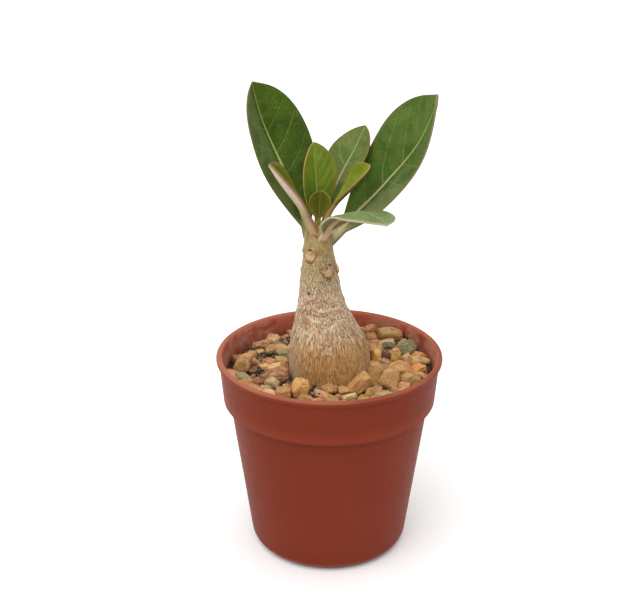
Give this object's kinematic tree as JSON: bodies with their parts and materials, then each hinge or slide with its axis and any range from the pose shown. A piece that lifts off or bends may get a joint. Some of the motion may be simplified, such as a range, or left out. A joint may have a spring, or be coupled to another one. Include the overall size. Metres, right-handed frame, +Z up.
{
  "type": "potted desert rose",
  "caption": "Young desert rose with a swollen base and a crown of leaves, in a round plastic nursery pot dressed with gravel.",
  "frame": {"origin": "centre of the pot's foot, on the ground", "axes": "+Z up along the pot's axis, -Y towards the side the picture shows"},
  "size_m": [0.085, 0.085, 0.1766],
  "materials": {
    "pot": "matt moulded plastic",
    "soil": "crumbly bark mix",
    "gravel": "rough",
    "plant": "finely fissured bark",
    "leaf": "satin",
    "young_leaf": "satin"
  },
  "bodies": {
    "root": {"pot": "pot", "soil": "soil", "gravel": "gravel", "caudex": "plant", "leaf_large_left": "leaf", "leaf_large_right": "leaf", "leaf_back": "leaf", "leaf_upright": "young_leaf", "leaf_youngest": "young_leaf", "leaf_trough_left": "young_leaf", "leaf_trough_right": "young_leaf", "leaf_arching": "leaf"}
  },
  "joints": []
}
